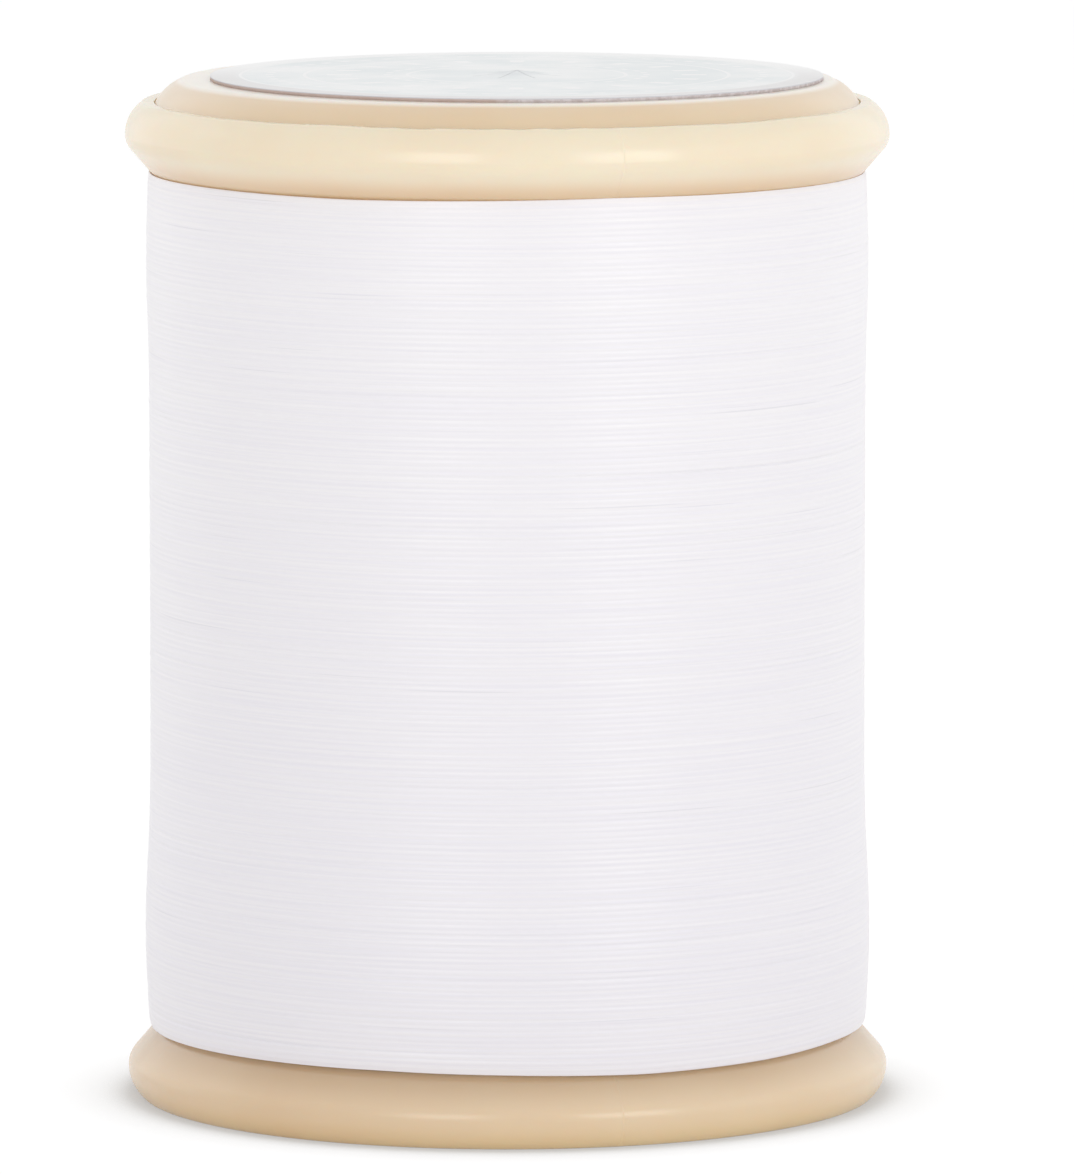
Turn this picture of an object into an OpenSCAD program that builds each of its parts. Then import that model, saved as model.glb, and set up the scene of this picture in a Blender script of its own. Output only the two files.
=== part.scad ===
// Spool of waxed sewing thread.
// A hollow plastic spool with two round-edged flanges, a raised cap with a card label
// on top, a recessed cap below, and one thread wound in level layers between the flanges.
// The spool stands on the foot of its lower flange. Its axis is Z, and z = 0 is that foot.

/* [Flanges] */
// Outside diameter of both flanges, at the crest of the rim
flange_d = 48.3; // [46:0.1:60]
// Height from the outer face of one flange to the outer face of the other
flange_span = 62.9; // [45:0.1:110]
// Thickness of each flange, from its outer face to its flat inner face
flange_t = 4.5; // [4.2:0.1:7]
// Thickness of the web that closes each flange behind its cap
web_t = 2.1; // [1.6:0.1:2.6]
// Distance from a flange's outer face to the crest of its rim
rim_crest = 1.8; // [1.4:0.05:2.1]
// Radius of the rounding from the crest to the outer face
rim_outer_r = 2.5; // [2.45:0.05:4]
// Radius of the rounding from the crest to the bevel
rim_inner_r = 1.25; // [0.6:0.05:2]
// Angle between the spool's axis and the bevel that runs in to the winding
bevel_angle = 41; // [30:1:50]
// Width of the flat foot under the lower rim
foot_w = 1.8; // [1.2:0.1:3]
// How far the lip round the top cap stands above the flange's outer face
lip_rise = 0.3; // [0.1:0.05:0.35]
// Thickness of that lip at its top
lip_w = 0.7; // [0.5:0.1:1.5]

/* [Barrel] */
// Outside diameter of the barrel, which the first layer of thread lies on
barrel_d = 27; // [22:0.5:34]
// Wall of the barrel
barrel_wall = 1.6; // [1.2:0.1:2.4]
// Diameter of the bore for a spool pin
spindle_bore_d = 8; // [5:0.1:12]
// Wall of the spindle tube and of the cap's boss above it
spindle_wall = 1.6; // [1.2:0.1:2.4]
// Number of ribs that hold the spindle tube inside the barrel
rib_count = 6; // [3:1:10]
// Thickness of a rib
rib_t = 1.2; // [0.8:0.1:2]

/* [Caps] */
// Wall of both caps
cap_wall = 1.6; // [1.2:0.1:2]
// Length of the plug that each cap pushes into the barrel
plug_len = 3.5; // [2:0.1:8]
// Wall of the plug
plug_wall = 1.3; // [0.8:0.1:2]
// Distance from the end of a plug to the ribs
plug_to_rib = 1; // [0.3:0.1:5]
// Height of the crown's flat land above the flange's outer face
crown_rise = 1.65; // [1.3:0.05:3.5]
// Width of the crown's sloping edge, seen from above
crown_edge_w = 1.7; // [1:0.1:3]
// Height of the crown's sloping edge
crown_edge_h = 1.5; // [1:0.1:2]
// Radius of the slight swell of the crown's sloping edge
crown_edge_r = 4; // [2:0.1:20]
// Lead-in chamfer of the bore in the base cap
bore_lead = 0.4; // [0.2:0.05:0.8]
// Chamfer round the outside of the base cap
base_chamfer = 0.4; // [0.2:0.05:0.8]
// Gap all round between a cap and what it is pressed into
cap_clearance = 0.05; // [0.02:0.01:0.15]

/* [Label] */
// Width of the land left bare round the label
label_margin = 1.2; // [0.8:0.1:5]
// Thickness of the card
label_t = 0.25; // [0.15:0.05:0.6]
// How far off centre the label is stuck, towards +X
label_offset = 0.6; // [0:0.1:0.8]
// Number of petals of the star cut over the bore
petal_count = 8; // [5:1:12]
// Width of the cuts between the petals
petal_slit = 0.15; // [0.1:0.05:0.3]
// Least distance from the ends of the cuts to the wall of the bore below
petal_margin = 0.3; // [0.2:0.05:1]
// How far the petal tips are pushed up
petal_lift = 0.35; // [0.1:0.05:0.8]

/* [Thread] */
// Diameter of the waxed thread
thread_d = 0.35; // [0.25:0.05:0.8]
// How far the rims stand out beyond the winding
rim_overhang = 1.45; // [0.8:0.05:6]
// Turns of the outer layer that are drawn, spread over the whole winding
turns_drawn = 24; // [6:1:24]
// Gap between the last turns and the flanges' inner faces
end_gap = 0.1; // [0.05:0.05:1]
// Gap between the drawn turns and the layers below them
layer_gap = 0.02; // [0.01:0.01:0.1]
// Gap between the winding and the plastic that it is wound on
winding_gap = 0.02; // [0.01:0.01:0.1]

/* [Hidden] */
$fn = 128;

// Number of straight steps in each rounding of a section
arc_steps = 12;
// How far ribs run into the walls that they join
rib_root = 0.4;
// Straight steps in one turn of thread, and the flats round it
steps_per_turn = 24;
thread_sides = 6;

plastic = [0.93, 0.87, 0.76];
plastic_cap = [0.90, 0.83, 0.71];
card = [0.86, 0.88, 0.90];
thread_white = [0.95, 0.94, 0.96];

// Heights
inner_low = flange_t;
inner_high = flange_span - flange_t;
seat_low = flange_t - web_t;
seat_high = flange_span - seat_low;
lip_top = flange_span + lip_rise;
land_z = flange_span + crown_rise;
rib_low = seat_low + plug_len + plug_to_rib;
rib_high = seat_high - plug_len - plug_to_rib;

// Radii
flange_r = flange_d / 2;
barrel_r = barrel_d / 2;
barrel_in_r = barrel_r - barrel_wall;
bore_r = spindle_bore_d / 2;
spindle_r = bore_r + spindle_wall;
foot_out_r = rim_edge_r(0);
foot_in_r = foot_out_r - foot_w;
recess_r = rim_edge_r(lip_rise) - lip_w;
cap_r = recess_r - cap_clearance;
base_r = foot_in_r - cap_clearance;
plug_r = barrel_in_r - cap_clearance;
plug_in_r = plug_r - plug_wall;
land_r = cap_r - crown_edge_w;
label_r = land_r - label_margin;
star_r = bore_r - label_offset - petal_margin;
winding_r = flange_r - rim_overhang;

// The drawn turns touch the winding's radius at their corners. Their flats dip in between
// the corners, so the layers below end a chord's rise further in.
turn_r = winding_r - thread_d / 2;
core_r = turn_r * cos(180 / steps_per_turn) - thread_d / 2 - layer_gap;
turn_low = inner_low + end_gap + thread_d / 2;
turn_high = inner_high - end_gap - thread_d / 2;
turn_pitch = (turn_high - turn_low) / turns_drawn;

// Radius of the rim's rounding where it is cut, this far beyond the flange's outer face
function rim_edge_r(beyond) =
    flange_r - rim_outer_r + sqrt(pow(rim_outer_r, 2) - pow(rim_crest + beyond, 2));

// Points along a circle about a centre, from one angle to another
function arc(centre, radius, from, to) = [
    for (i = [0 : arc_steps])
        let (a = from + (to - from) * i / arc_steps)
        [centre.x + radius * cos(a), centre.y + radius * sin(a)]
];

// Points from p to q along a circle that swells out to the left of the way
function swell(p, q, radius) =
    let (
        chord = q - p,
        half = norm(chord) / 2,
        side = [chord.y, -chord.x] / norm(chord),
        centre = (p + q) / 2 - side * sqrt(pow(radius, 2) - pow(half, 2)),
        from = atan2(p.y - centre.y, p.x - centre.x),
        to = atan2(q.y - centre.y, q.x - centre.x)
    )
    arc(centre, radius, from, to);

// Outline of a rim, from its cut outer edge over the crest to the flat inner face.
// Heights count from the flange's outer face, and beyond is how far below it the cut is.
function rim_outline(beyond) =
    let (
        cut_angle = asin((rim_crest + beyond) / rim_outer_r),
        outer = arc([flange_r - rim_outer_r, rim_crest], rim_outer_r, -cut_angle, 0),
        inner = arc([flange_r - rim_inner_r, rim_crest], rim_inner_r, 0, bevel_angle),
        bevel_start = inner[arc_steps],
        bevel_end = [bevel_start.x - (flange_t - bevel_start.y) * tan(bevel_angle), flange_t]
    )
    concat(outer, [for (i = [1 : arc_steps]) inner[i]], [bevel_end]);

// The same outline turned over, for the upper flange
function upper_rim_outline() = [
    for (i = [2 * arc_steps + 1 : -1 : 0])
        let (p = rim_outline(lip_rise)[i])
        [p.x, flange_span - p.y]
];

// Barrel and flanges, with a recess in each flange for its cap
module spool_shell() {
    rotate_extrude()
        polygon(concat(
            [[barrel_in_r, seat_low], [foot_in_r, seat_low], [foot_in_r, 0]],
            rim_outline(0),
            [[barrel_r, inner_low], [barrel_r, inner_high]],
            upper_rim_outline(),
            [[recess_r, lip_top], [recess_r, seat_high], [barrel_in_r, seat_high]]
        ));
}

module spindle_tube() {
    difference() {
        translate([0, 0, seat_low])
            cylinder(r = spindle_r, h = seat_high - seat_low);
        translate([0, 0, seat_low - 1])
            cylinder(r = bore_r, h = seat_high - seat_low + 2);
    }
}

// Flat ribs between the spindle tube and the barrel, set back behind the plugs
module spindle_ribs() {
    rib_in = spindle_r - rib_root;
    rib_len = barrel_in_r + rib_root - rib_in;
    for (i = [0 : rib_count - 1])
        rotate([0, 0, 360 * i / rib_count])
            translate([rib_in, -rib_t / 2, rib_low])
                cube([rib_len, rib_t, rib_high - rib_low]);
}

module spool_body() {
    color(plastic)
        union() {
            spool_shell();
            spindle_tube();
            spindle_ribs();
        }
}

// Raised cap: a shell with a crowned top, a skirt on the flange's web, a plug in the
// barrel and a boss that stands on the spindle tube
module top_cap() {
    under_z = land_z - cap_wall;
    crown_foot = [cap_r, land_z - crown_edge_h];
    color(plastic_cap)
        rotate_extrude()
            polygon(concat(
                [[bore_r, seat_high], [spindle_r, seat_high], [spindle_r, under_z]],
                [[plug_in_r, under_z], [plug_in_r, seat_high - plug_len]],
                [[plug_r, seat_high - plug_len], [plug_r, under_z]],
                [[cap_r - cap_wall, under_z], [cap_r - cap_wall, seat_high], [cap_r, seat_high]],
                swell(crown_foot, [land_r, land_z], crown_edge_r),
                [[bore_r, land_z]]
            ));
}

// Flat cap that closes the lower flange, above the foot
module base_cap() {
    face_z = seat_low - cap_wall;
    color(plastic_cap)
        rotate_extrude()
            polygon([
                [bore_r, seat_low],
                [bore_r, face_z + bore_lead],
                [bore_r + bore_lead, face_z],
                [base_r - base_chamfer, face_z],
                [base_r, face_z + base_chamfer],
                [base_r, seat_low],
                [plug_r, seat_low],
                [plug_r, seat_low + plug_len],
                [plug_in_r, seat_low + plug_len],
                [plug_in_r, seat_low]
            ]);
}

// One petal of the star cut, hinged at its root and pushed up at its tip
module petal() {
    half_angle = 180 / petal_count;
    tip_r = petal_slit / 2 / sin(half_angle);
    root_r = star_r + petal_slit;
    edge = (star_r - tip_r) * cos(half_angle);
    lift_angle = asin(petal_lift / star_r);
    translate([star_r, 0, land_z])
        rotate([0, lift_angle, 0])
            linear_extrude(height = label_t)
                polygon([
                    [tip_r - star_r, 0],
                    [tip_r + edge - star_r, -edge * tan(half_angle)],
                    [root_r - star_r, -edge * tan(half_angle)],
                    [root_r - star_r, edge * tan(half_angle)],
                    [tip_r + edge - star_r, edge * tan(half_angle)]
                ]);
}

module top_label() {
    color(card)
        translate([label_offset, 0, 0])
            union() {
                difference() {
                    translate([0, 0, land_z])
                        cylinder(r = label_r, h = label_t);
                    translate([0, 0, land_z - 1])
                        cylinder(r = star_r, h = label_t + 2);
                }
                for (i = [0 : petal_count - 1])
                    rotate([0, 0, 360 * i / petal_count])
                        petal();
            }
}

// All the layers under the drawn turns, as one ring on the barrel
module thread_core() {
    core_in_r = barrel_r + winding_gap;
    core_low = inner_low + winding_gap;
    core_high = inner_high - winding_gap;
    color(thread_white)
        rotate_extrude()
            polygon([
                [core_in_r, core_low],
                [core_r, core_low],
                [core_r, core_high],
                [core_in_r, core_high]
            ]);
}

// Angle and place of each step along the drawn turns
last_step = turns_drawn * steps_per_turn;
function turn_angle(i) = 360 * i / steps_per_turn;
function turn_point(i) = [
    turn_r * cos(turn_angle(i)),
    turn_r * sin(turn_angle(i)),
    turn_low + turn_pitch * i / steps_per_turn
];
function turn_heading(i) =
    let (along = [-sin(turn_angle(i)), cos(turn_angle(i)), turn_pitch / (2 * PI * turn_r)])
    along / norm(along);

// A ring of points round the thread, moved along it by a distance
function thread_ring(i, along) =
    let (
        out = [cos(turn_angle(i)), sin(turn_angle(i)), 0],
        up = cross(out, turn_heading(i)),
        centre = turn_point(i) + turn_heading(i) * along
    )
    [
        for (k = [0 : thread_sides - 1])
            let (a = 360 * (k + 0.5) / thread_sides)
            centre + (out * cos(a) + up * sin(a)) * thread_d / 2
    ];

// Each end runs straight on for one thread diameter
thread_rings = concat(
    [thread_ring(0, -thread_d)],
    [for (i = [0 : last_step]) thread_ring(i, 0)],
    [thread_ring(last_step, thread_d)]
);
ring_total = len(thread_rings);

// Least distance between the surfaces of turns that pass each other, from the points
// along the thread that lie half a turn or more apart
least_turn_gap = min([
    for (i = [0 : last_step - steps_per_turn / 2])
        for (j = [i + steps_per_turn / 2 : last_step])
            norm(turn_point(j) - turn_point(i))
]) - thread_d;
echo("least gap between turns, mm", least_turn_gap);

function ring_corner(ring, k) = ring * thread_sides + k % thread_sides;

// The outer layer as one unbroken tube, wound up the spool from flange to flange
module thread_outer_turns() {
    wall = [
        for (ring = [0 : ring_total - 2])
            for (k = [0 : thread_sides - 1])
                for (face = [
                    [ring_corner(ring, k), ring_corner(ring + 1, k), ring_corner(ring + 1, k + 1)],
                    [ring_corner(ring, k), ring_corner(ring + 1, k + 1), ring_corner(ring, k + 1)]
                ])
                    face
    ];
    first_end = [for (k = [1 : thread_sides - 2]) [0, k, k + 1]];
    last_end = [
        for (k = [1 : thread_sides - 2])
            [for (c = [0, k + 1, k]) ring_corner(ring_total - 1, c)]
    ];
    color(thread_white)
        polyhedron(
            points = [for (ring = thread_rings) for (corner = ring) corner],
            faces = concat(wall, first_end, last_end)
        );
}

spool_body();
top_cap();
base_cap();
top_label();
thread_core();
thread_outer_turns();
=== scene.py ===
# %% [markdown]
# # A spool of waxed thread
#
# This lesson dresses a measured model of a thread spool. The spool is a hollow cream plastic
# moulding with two round-edged flanges. A raised cap with a round card label closes its top, a
# flat cap closes its foot, and one white waxed thread fills the space between the flanges.
#
# The measured model comes first and stays where it is. Every piece below is worked out from its
# sizes, so nothing has to be moved into place afterwards.

# %% Load the measured model
import math

import bmesh
import bpy
import numpy as np
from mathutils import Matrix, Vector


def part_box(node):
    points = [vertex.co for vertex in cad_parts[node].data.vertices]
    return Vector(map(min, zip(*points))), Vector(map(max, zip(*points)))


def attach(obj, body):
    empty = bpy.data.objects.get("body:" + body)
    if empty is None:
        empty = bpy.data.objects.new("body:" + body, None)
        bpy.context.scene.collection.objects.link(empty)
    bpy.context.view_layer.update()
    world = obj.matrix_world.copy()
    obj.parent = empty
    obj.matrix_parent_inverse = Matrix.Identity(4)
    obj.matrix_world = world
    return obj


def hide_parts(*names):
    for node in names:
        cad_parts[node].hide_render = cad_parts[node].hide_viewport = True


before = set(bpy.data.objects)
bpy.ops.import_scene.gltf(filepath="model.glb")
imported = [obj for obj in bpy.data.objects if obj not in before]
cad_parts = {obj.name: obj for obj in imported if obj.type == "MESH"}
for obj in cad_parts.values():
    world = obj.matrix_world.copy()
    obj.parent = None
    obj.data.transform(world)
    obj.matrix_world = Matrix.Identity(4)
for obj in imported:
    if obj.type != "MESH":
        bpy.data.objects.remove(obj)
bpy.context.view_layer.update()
print("pieces of the measured model:", sorted(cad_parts))

# %% [markdown]
# ## The few sizes that everything follows
#
# Blender works in metres here, and a spool is easier to think about in millimetres. So each
# length is written in millimetres and multiplied by `MM`. Only walls and roundings, which a box
# can't show, are written down as values.

# %% Sizes of the spool, in millimetres
MM = 0.001
SEED = 24  # of the random draws

body_high = np.array(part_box("spool_body")[1]) / MM
cap_high = np.array(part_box("top_cap")[1]) / MM
base_low, base_high = (np.array(c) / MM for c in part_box("base_cap"))
label_low, label_high = (np.array(c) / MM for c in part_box("top_label"))
core_high = np.array(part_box("thread_core")[1]) / MM
turns_high = np.array(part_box("thread_outer_turns")[1]) / MM

flange_r = body_high[0]
lip_top = body_high[2]
lip_rise = 0.3  # of the lip round the cap, above the flange's outer face
flange_span = lip_top - lip_rise  # between the two outer faces
flange_t = 4.5  # thickness of a flange beside the thread
web_t = 2.1  # thickness of its wall under the cap
rim_crest = 1.8  # from a flange's outer face to the rim's widest circle
rim_outer_r = 2.5  # rounding outside that circle
rim_inner_r = 1.25  # rounding inside it
bevel_angle = math.radians(41)  # of the slope down to the thread
foot_w = 1.8  # width of the flat ring that the spool stands on
lip_w = 0.7  # width of the lip round the cap
barrel_r = 13.5  # of the tube that carries the thread
barrel_wall = 1.6
bore_r = 4.0  # of the hole for the pin, inside the spindle tube
spindle_wall = 1.6
cap_r = cap_high[0]
land_z = cap_high[2]
winding_r = turns_high[0]
print(f"flange radius {flange_r:.2f} mm, cap radius {cap_r:.2f} mm, winding radius {winding_r:.2f} mm")

# %% [markdown]
# ## Turning an outline into a solid of revolution
#
# Every plastic piece of a spool is turned about one axis, so one helper makes them all. Blender
# could do this with a Screw modifier or with `bmesh.ops.spin`. A numpy grid is chosen instead,
# because each row of the grid can then be pushed about by a formula, and that is how the mould's
# parting line and the uneven lip are made.
#
# A real moulding has no sharp edge. `rounded_outline` takes plain corners and gives each one its
# own rounding, which catches a thin line of light and makes the plastic look moulded.

# %% Helper: an outline with rounded corners
ROUNDING_STEPS = 6
NEAR_ROUNDING = 0.2  # how close the extra points stand to a rounding, in millimetres
NEAR_SHARE = 0.3  # but never further along a straight stretch than this share of it
SAME_PLACE = 1e-4  # points closer than this are one


def rounded_outline(corners):
    """A closed outline with each corner (radius, height, rounding) turned into an arc. The arc
    touches both sides at a distance of rounding / tan(half the corner's angle), and its centre
    lies on the bisector. Each straight stretch gets a point close to either end, so that smooth
    shading stays flat in between."""
    corners = np.array(corners, float)
    point, rounding = corners[:, :2], corners[:, 2:]
    back = np.roll(point, 1, 0) - point
    ahead = np.roll(point, -1, 0) - point
    back /= np.linalg.norm(back, axis=1, keepdims=True)
    ahead /= np.linalg.norm(ahead, axis=1, keepdims=True)
    half = np.arccos(np.clip((back * ahead).sum(1, keepdims=True), -1, 1)) / 2
    reach = rounding / np.tan(half)
    bisector = (back + ahead) / np.linalg.norm(back + ahead, axis=1, keepdims=True)
    centre = point + bisector * rounding / np.sin(half)
    start, end = point + back * reach - centre, point + ahead * reach - centre
    first = np.arctan2(start[:, 1], start[:, 0])
    sweep = np.arctan2(end[:, 1], end[:, 0]) - first
    sweep = (sweep + np.pi) % (2 * np.pi) - np.pi
    angle = first[:, None] + sweep[:, None] * np.linspace(0, 1, ROUNDING_STEPS + 1)
    arcs = centre[:, None] + rounding[:, None] * np.stack([np.cos(angle), np.sin(angle)], 2)
    gap = np.roll(arcs[:, 0], -1, 0) - arcs[:, -1]
    stretch = np.maximum(np.linalg.norm(gap, axis=1), 1e-9)
    share = np.minimum(NEAR_ROUNDING / stretch, NEAR_SHARE)[:, None]
    near_start = arcs[:, -1] + gap * share
    near_end = arcs[:, -1] + gap * (1 - share)
    outline = np.concatenate([arcs, near_start[:, None], near_end[:, None]], 1).reshape(-1, 2)
    step = np.linalg.norm(outline - np.roll(outline, 1, 0), axis=1)
    return outline[step > SAME_PLACE]


square = [(1, 0, 0.1), (2, 0, 0.1), (2, 1, 0.1), (1, 1, 0.1)]
print(f"a square with four rounded corners has {len(rounded_outline(square))} points")


# %% Helpers: turn an outline round, and make an object of it
def grid_faces(columns, rows):
    """Quads of a grid that is closed both ways. Vertex (column, row) has the number
    column * rows + row."""
    c, r = np.meshgrid(np.arange(columns), np.arange(rows), indexing="ij")
    c2, r2 = (c + 1) % columns, (r + 1) % rows
    quads = np.stack([c * rows + r, c2 * rows + r, c2 * rows + r2, c * rows + r2], 2)
    return quads.reshape(-1, 4)


def revolve(outline, azimuths):
    """Points and quads of an outline turned round Z: x = r cos(a), y = r sin(a), z = height. The
    outline runs anticlockwise in the plane of radius and height, so that faces point outwards."""
    r, z = np.broadcast_to(outline, (len(azimuths), *outline.shape)).transpose(2, 0, 1)
    a = azimuths[:, None]
    points = np.stack([r * np.cos(a), r * np.sin(a), z], 2).reshape(-1, 3)
    return points, grid_faces(len(azimuths), len(outline))


def make_piece(name, points, faces):
    """A mesh object from points in millimetres and faces, with its place in its mesh."""
    mesh = bpy.data.meshes.new(name)
    mesh.from_pydata((np.asarray(points) * MM).tolist(), [], [list(map(int, f)) for f in faces])
    mesh.shade_smooth()
    mesh.update()
    piece = bpy.data.objects.new(name, mesh)
    bpy.context.scene.collection.objects.link(piece)
    return piece


def join_parts(*parts):
    """One list of points and one of quads from several pairs of them."""
    points, faces, count = [], [], 0
    for p, f in parts:
        points.append(p)
        faces.append(np.asarray(f) + count)
        count += len(p)
    return np.concatenate(points), np.concatenate(faces)


ring_points, ring_faces = revolve(rounded_outline(square), np.arange(12) / 12 * 2 * np.pi)
print(f"turned round in 12 columns it has {len(ring_points)} points and {len(ring_faces)} quads")

# %% [markdown]
# ## Smooth random waves
#
# Nothing handmade or moulded is perfectly even. `ripple` is a sum of a few sine waves with random
# phases, so it closes on itself after a full turn and gives the same result on each run.

# %% Helper: a closed random wave
chance = np.random.default_rng(SEED)


def ripple(angle, waves, lowest):
    """A sum of sine waves round the full circle, from lowest to lowest + waves - 1 periods, with
    random phases and falling heights, scaled to about -1 to 1."""
    periods = np.arange(lowest, lowest + waves)
    phase = chance.uniform(0, 2 * np.pi, waves)
    weight = 1 / np.sqrt(periods)
    value = (weight * np.sin(np.multiply.outer(angle, periods) + phase)).sum(-1)
    return value / np.sqrt((weight**2).sum())


print(f"random waves from seed {SEED}")

# %% [markdown]
# ## The spool body
#
# Both flanges and the barrel came out of one mould that opens sideways. Its two halves leave a
# fine upright line on both rims, a little right of the front and opposite. The rim is a round
# nose: a large rounding outside, a small one inside, and a straight bevel down to the thread. The
# foot is a narrow flat ring. The lip round the cap is thin, and a little plastic flash makes its
# edge uneven.
#
# The barrel, the spindle tube in its middle and the ribs between them belong to the same piece.
# The thread and the caps hide them, and only the bore can be looked into from below.

# %% Outline of the spool body
crest_reach_out = rim_outer_r * math.tan(math.asin(rim_crest / rim_outer_r) / 2)
crest_reach_in = rim_inner_r * math.tan(bevel_angle / 2)
bevel_start_z = rim_crest + rim_inner_r * math.sin(bevel_angle)
bevel_start_r = flange_r - rim_inner_r * (1 - math.cos(bevel_angle))
bevel_end_r = bevel_start_r - (flange_t - bevel_start_z) * math.tan(bevel_angle)
seat_low = flange_t - web_t
seat_high = flange_span - seat_low
spindle_r = bore_r + spindle_wall
barrel_in_r = barrel_r - barrel_wall


def rim_cut_r(beyond):
    """Radius of the outer rounding where it is cut, this far beyond the flange's outer face:
    flange radius - R + sqrt(R^2 - (crest + beyond)^2), by Pythagoras."""
    return flange_r - rim_outer_r + math.sqrt(rim_outer_r**2 - (rim_crest + beyond) ** 2)


foot_out_r = rim_cut_r(0)
foot_in_r = foot_out_r - foot_w
lip_out_r = rim_cut_r(lip_rise)
lip_in_r = lip_out_r - lip_w
lip_angle = math.asin((rim_crest + lip_rise) / rim_outer_r)
lip_reach = rim_outer_r * math.tan(lip_angle / 2)
nose_r = rim_outer_r * 0.93  # leaves room for a point between the rounding and the edge beside it
draft = 0.05  # how far the foot and the lip lean in
EDGE = 0.12  # rounding of the edges that a hand feels
TIGHT = 0.06  # rounding of the edges inside

body_outline = rounded_outline([
    (barrel_in_r, seat_low, TIGHT),
    (foot_in_r, seat_low, TIGHT),
    (foot_in_r, 0, EDGE),
    (foot_out_r - draft, 0, EDGE),
    (flange_r, rim_crest - crest_reach_out, nose_r),
    (flange_r, rim_crest + crest_reach_in, rim_inner_r),
    (bevel_end_r, flange_t, TIGHT),
    (barrel_r, flange_t, TIGHT),
    (barrel_r, flange_span - flange_t, TIGHT),
    (bevel_end_r, flange_span - flange_t, TIGHT),
    (flange_r, flange_span - rim_crest - crest_reach_in, rim_inner_r),
    (flange_r, flange_span - rim_crest + lip_reach, nose_r),
    (lip_out_r - draft, lip_top, EDGE),
    (lip_in_r, lip_top, TIGHT),
    (lip_in_r, seat_high, TIGHT),
    (barrel_in_r, seat_high, TIGHT),
])
print(f"{len(body_outline)} points in the outline of the spool body")

# %% [markdown]
# The grid's columns stand closer together at the parting line, which is only a tenth of a
# millimetre wide. There the surface rises in a fine ridge, and one mould half stands a hair
# further out than the other, which breaks the long highlights as it does on a real moulding.

# %% Columns of the spool body
COLUMNS = 240
FRONT = -math.pi / 2  # the azimuth that faces the camera
LINE_AT = math.radians(17.4)  # how far right of the front the parting line lies
LINE_HALF = 0.07  # its half width, in millimetres
parting = FRONT + LINE_AT
line_half_width = LINE_HALF / flange_r  # as an angle
half_widths = np.array([-6, -3, -1.8, -1.2, -0.7, -0.3, 0, 0.3, 0.7, 1.2, 1.8, 3, 6])
beside_line = line_half_width * half_widths
even = np.linspace(0, 2 * np.pi, COLUMNS, endpoint=False)
columns = np.concatenate([even, parting + beside_line, parting + np.pi + beside_line]) % (2 * np.pi)
columns = np.unique(np.round(columns, 7))
print(f"{len(columns)} columns round the spool body, two groups of them at the parting lines")

# %% What the mould leaves on the surface
LINE_RIDGE = 0.014  # height of the ridge at the parting line
LINE_STEP = 0.022  # step between the mould halves
STEP_FADE = math.radians(20)  # how far round the step fades
UNEVEN = 0.012  # depth of the slow unevenness
MARKS_FROM, MARKS_OVER = 6, 2  # the marks start 6 mm outside the barrel and are whole 2 mm on
WIDEST = 0.02  # the ridge ends this close to the widest radius
FLASH_PATCH = math.radians(16)  # half width of the stretch of lip with the most flash
FLASH, FLASH_ROUND = 0.05, 0.02  # height of the flash in that stretch and all round
FLASH_MOST, FLASH_BASE = 0.09, 0.02  # its greatest height, and what the whole lip is lowered by
LIP_BAND = 0.2  # how far the flash reaches down and outwards from the lip's inner edge
LIP_WAVE = 0.03  # how far it stands inwards
LIP_NEAR = 0.01  # points this close inside the lip still count as its own


def from_line(angle):
    """Signed angle to the nearer of the two parting lines."""
    return (angle - parting + np.pi / 2) % np.pi - np.pi / 2


def mould_marks(points, rows):
    """Moves points of the shell by what the mould left on it. Outwards: a ridge at the parting
    line, exp(-(distance / half width)^2), a step between the halves that fades over 20 degrees,
    and a slow unevenness. Upwards, on the lip alone: flash."""
    x, y, z = points.reshape(-1, rows, 3).transpose(2, 0, 1)
    angle = np.arctan2(y, x)
    r = np.hypot(x, y)
    off = from_line(angle)
    outside = np.clip((r - barrel_r - MARKS_FROM) / MARKS_OVER, 0, 1)
    ridge = LINE_RIDGE * np.exp(-(off / line_half_width) ** 2)
    step = -LINE_STEP * np.clip(off / line_half_width, 0, 1) * np.exp(-np.abs(off) / STEP_FADE)
    slow = UNEVEN * ripple(angle[:, 0], waves=7, lowest=2)[:, None] - UNEVEN
    moved = r + outside * (ridge * (r < flange_r - WIDEST) + step + slow)
    in_band = np.clip((z - lip_top + LIP_BAND) / LIP_BAND, 0, 1)
    on_lip = in_band * (r > lip_in_r - LIP_NEAR) * (r < lip_out_r)
    patch = np.exp(-((angle[:, 0] - FRONT) / FLASH_PATCH) ** 2)
    flash = FLASH * patch * ripple(angle[:, 0], waves=40, lowest=30)
    flash = flash + FLASH_ROUND * ripple(angle[:, 0], waves=14, lowest=8)
    inward = np.clip((lip_in_r + LIP_BAND - r) / LIP_BAND, 0, 1)
    wave = (1 + ripple(angle[:, 0], waves=30, lowest=20))[:, None]
    moved = moved - on_lip * inward * LIP_WAVE * wave * patch[:, None]
    z = z + on_lip * (np.minimum(flash, FLASH_MOST) - FLASH_BASE)[:, None]
    return np.stack([moved * np.cos(angle), moved * np.sin(angle), z], 2).reshape(-1, 3)


shell_points, shell_faces = revolve(body_outline, columns)
shell = mould_marks(shell_points, len(body_outline)), shell_faces
print(f"shell of {len(shell_faces)} quads")

# %% [markdown]
# Inside the barrel a tube leads the pin, and flat ribs hold the tube in the middle. A rib is a
# plain box of eight corners that a rotation matrix turns to its place. The ribs' ends reach a
# little way into both walls, so that no gap can open there.

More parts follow.
